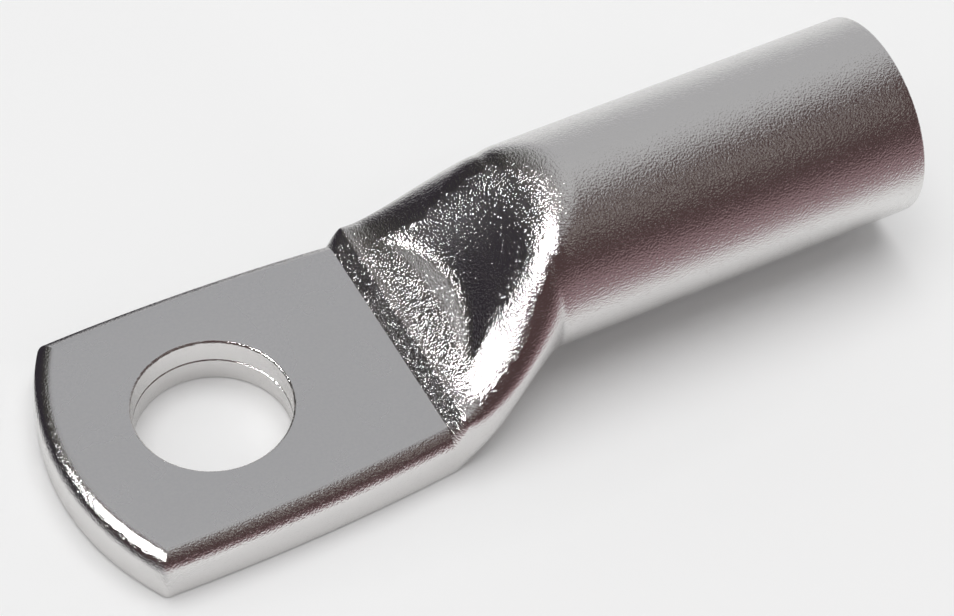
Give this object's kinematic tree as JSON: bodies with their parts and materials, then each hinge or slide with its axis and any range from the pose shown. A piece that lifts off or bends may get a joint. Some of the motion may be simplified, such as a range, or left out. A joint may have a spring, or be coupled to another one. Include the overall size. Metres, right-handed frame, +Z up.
{
  "type": "tubular cable lug",
  "caption": "One-piece tubular crimp lug: a round barrel for a stranded conductor, pressed flat at one end into a palm with a bolt hole.",
  "frame": {"origin": "centre of the bolt hole on the palm's underside, the face that seats on the terminal", "axes": "+X from the bolt hole towards the mouth of the barrel, +Z up out of the palm's top face, +Y across the palm"},
  "size_m": [0.0606, 0.0204, 0.0147],
  "materials": {
    "tinned_copper": "tin-plated copper, satin"
  },
  "bodies": {
    "root": {"cable_lug": "tinned_copper"}
  },
  "joints": []
}
